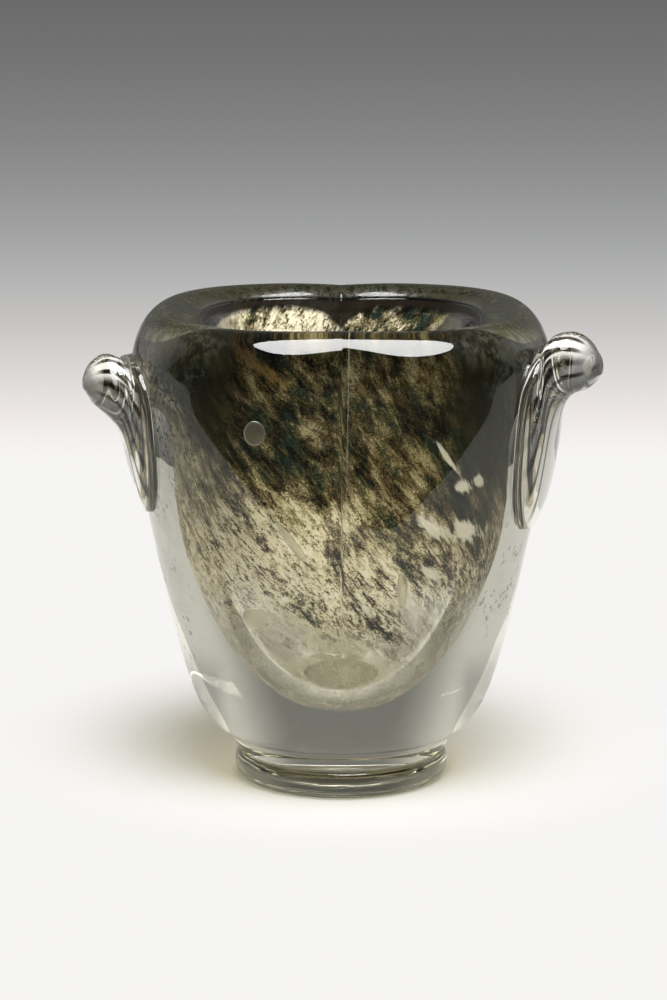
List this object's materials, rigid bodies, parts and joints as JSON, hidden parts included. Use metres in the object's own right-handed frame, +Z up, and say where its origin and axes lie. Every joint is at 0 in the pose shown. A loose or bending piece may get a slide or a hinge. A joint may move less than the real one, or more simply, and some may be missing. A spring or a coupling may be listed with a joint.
{
  "type": "glass vase with handles",
  "caption": "Thick-walled cased glass vase with a mottled inner layer, a wide folded mouth, a disc foot and pulled knob handles at the shoulders.",
  "frame": {"origin": "centre of the flat underside of the foot", "axes": "+Z up, +X towards the right-hand handle as seen from the front, -Y towards the front"},
  "size_m": [0.1696, 0.1184, 0.16],
  "materials": {
    "clear_glass": "clear, faintly grey-green, fire-polished",
    "mottled_glass": "cream and olive-black flecks drawn out in slanting streaks, darker towards the mouth",
    "handle_glass": "clear, fire-polished, with fine pulled lines"
  },
  "bodies": {
    "root": {"outer_casing": "clear_glass", "colour_layer": "mottled_glass", "inner_gather": "clear_glass", "foot": "clear_glass", "right_handle": "handle_glass", "left_handle": "handle_glass"}
  },
  "joints": []
}
